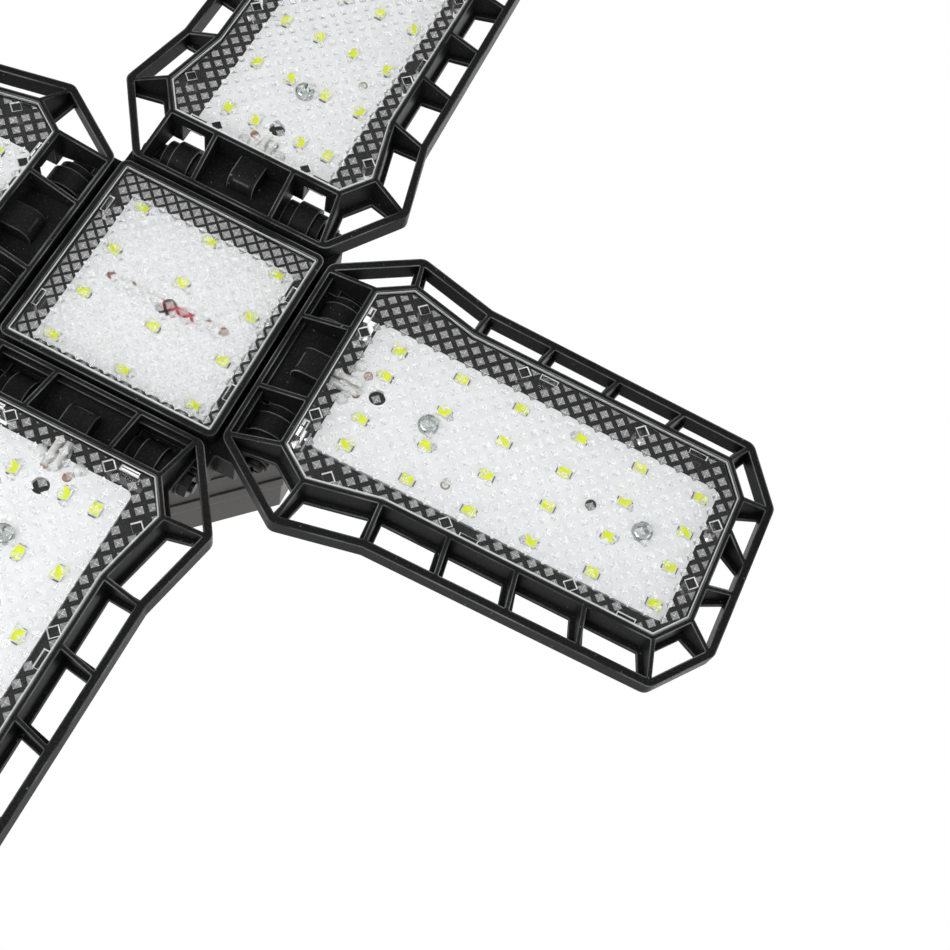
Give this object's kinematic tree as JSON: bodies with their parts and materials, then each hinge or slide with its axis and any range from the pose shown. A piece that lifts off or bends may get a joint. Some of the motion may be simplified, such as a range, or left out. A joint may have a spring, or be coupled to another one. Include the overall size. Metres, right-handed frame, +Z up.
{
  "type": "folding garage lamp",
  "caption": "Ceiling lamp with a screw base, a square centre light and hinged light wings that fold back towards the base.",
  "frame": {"origin": "foot of the metal screw shell, on the lamp's axis, where the shell meets the neck", "axes": "+Z up along the screw base, out of the lamp towards its socket; +X along wing 1, +Y along wing 2"},
  "size_m": [0.322, 0.322, 0.133],
  "materials": {
    "black_plastic": "satin moulded plastic",
    "grey_plastic": "fine matt moulded plastic",
    "clear_plastic": "clear prismatic plate",
    "white_board": "white coated metal-core board",
    "light_chip": "white package with yellow phosphor",
    "screw_steel": "bright plated steel",
    "shell_metal": "nickel-bright rolled shell",
    "insulator": "black moulded insulator",
    "contact_metal": "tinned contact button",
    "green_board": "green circuit board",
    "transformer": "taped ferrite transformer",
    "capacitor_sleeve": "dark shrink sleeve",
    "component_body": "black moulded components",
    "lead_sleeve": "insulated lead"
  },
  "bodies": {
    "base": {"hub_body": "black_plastic", "centre_lens": "clear_plastic", "centre_board": "white_board", "centre_leds": "light_chip", "centre_leads": "lead_sleeve", "housing_front": "grey_plastic", "housing_rear": "grey_plastic", "housing_screws": "screw_steel", "hub_screws": "screw_steel", "screw_shell": "shell_metal", "base_insulator": "insulator", "centre_contact": "contact_metal", "driver_board": "green_board", "driver_transformer": "transformer", "driver_capacitor": "capacitor_sleeve", "driver_components": "component_body", "driver_screws": "screw_steel", "mains_leads": "lead_sleeve", "wing_1_hinge_screw": "screw_steel", "wing_1_hinge_nut": "screw_steel", "wing_1_friction_washers": "screw_steel", "wing_2_hinge_screw": "screw_steel", "wing_2_hinge_nut": "screw_steel", "wing_2_friction_washers": "screw_steel", "wing_3_hinge_screw": "screw_steel", "wing_3_hinge_nut": "screw_steel", "wing_3_friction_washers": "screw_steel", "wing_4_hinge_screw": "screw_steel", "wing_4_hinge_nut": "screw_steel", "wing_4_friction_washers": "screw_steel"},
    "wing_1": {"wing_1_frame": "black_plastic", "wing_1_lens": "clear_plastic", "wing_1_board": "white_board", "wing_1_leds": "light_chip", "wing_1_board_screws": "screw_steel", "wing_1_leads": "lead_sleeve"},
    "wing_2": {"wing_2_frame": "black_plastic", "wing_2_lens": "clear_plastic", "wing_2_board": "white_board", "wing_2_leds": "light_chip", "wing_2_board_screws": "screw_steel", "wing_2_leads": "lead_sleeve"},
    "wing_3": {"wing_3_frame": "black_plastic", "wing_3_lens": "clear_plastic", "wing_3_board": "white_board", "wing_3_leds": "light_chip", "wing_3_board_screws": "screw_steel", "wing_3_leads": "lead_sleeve"},
    "wing_4": {"wing_4_frame": "black_plastic", "wing_4_lens": "clear_plastic", "wing_4_board": "white_board", "wing_4_leds": "light_chip", "wing_4_board_screws": "screw_steel", "wing_4_leads": "lead_sleeve"}
  },
  "joints": [
    {"name": "wing_1_fold", "type": "hinge", "parent": "base", "child": "wing_1", "pos_m": [0.04, 0, -0.0945], "axis": [0, -1, 0], "range_deg": [0, 90]},
    {"name": "wing_2_fold", "type": "hinge", "parent": "base", "child": "wing_2", "pos_m": [0, 0.04, -0.0945], "axis": [1, 0, 0], "range_deg": [0, 90]},
    {"name": "wing_3_fold", "type": "hinge", "parent": "base", "child": "wing_3", "pos_m": [-0.04, 0, -0.0945], "axis": [0, 1, 0], "range_deg": [0, 90]},
    {"name": "wing_4_fold", "type": "hinge", "parent": "base", "child": "wing_4", "pos_m": [0, -0.04, -0.0945], "axis": [-1, 0, 0], "range_deg": [0, 90]}
  ]
}
